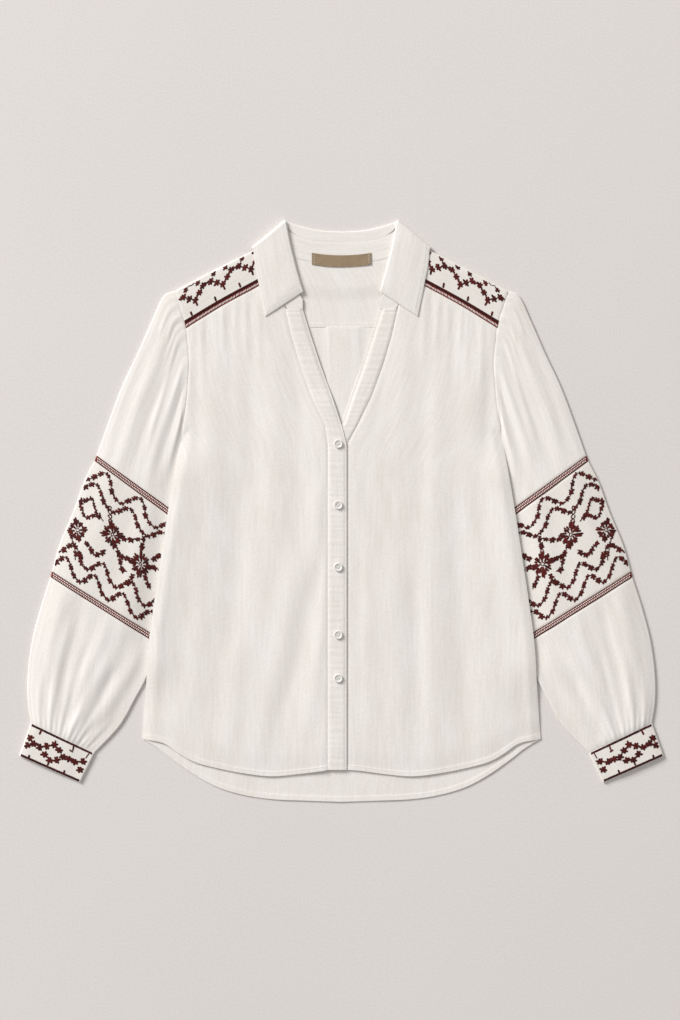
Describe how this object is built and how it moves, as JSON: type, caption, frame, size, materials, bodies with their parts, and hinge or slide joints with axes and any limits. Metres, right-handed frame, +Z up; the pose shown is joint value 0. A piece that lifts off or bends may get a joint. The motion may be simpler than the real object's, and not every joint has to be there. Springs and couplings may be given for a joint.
{
  "type": "embroidered blouse laid flat",
  "caption": "Long-sleeved button-front blouse laid flat, with an open V neck, shirt collar, embroidered shoulders and sleeve bands, and gathered sleeves in buttonless cuffs.",
  "frame": {"origin": "middle of the laid blouse's box, on the surface that it lies on", "axes": "+X across to the wearer's left sleeve, +Y from the hem to the collar, +Z up from the surface, with the blouse's front upwards"},
  "size_m": [0.8366, 0.7555, 0.0081],
  "materials": {
    "cotton": "soft matt slub weave",
    "embroidered_cotton": "matt weave under dark red stitching",
    "red_thread": "twisted cotton thread and tape",
    "button_shell": "satin",
    "kraft_label": "matt washable board"
  },
  "bodies": {
    "root": {"back": "cotton", "back_yoke": "cotton", "front_left": "cotton", "front_right": "cotton", "band_left": "cotton", "band_right": "cotton", "collar_stand": "cotton", "collar_fall": "cotton", "shoulder_left": "embroidered_cotton", "shoulder_right": "embroidered_cotton", "trim_shoulder_left": "red_thread", "trim_shoulder_right": "red_thread", "sleeve_upper_left": "cotton", "sleeve_upper_right": "cotton", "trim_sleeve_top_left": "red_thread", "trim_sleeve_top_right": "red_thread", "sleeve_panel_left": "embroidered_cotton", "sleeve_panel_right": "embroidered_cotton", "trim_sleeve_bottom_left": "red_thread", "trim_sleeve_bottom_right": "red_thread", "sleeve_lower_left": "cotton", "sleeve_lower_right": "cotton", "cuff_left": "embroidered_cotton", "cuff_right": "embroidered_cotton", "button_1": "button_shell", "button_2": "button_shell", "button_3": "button_shell", "button_4": "button_shell", "button_5": "button_shell", "neck_label": "kraft_label"}
  },
  "joints": []
}
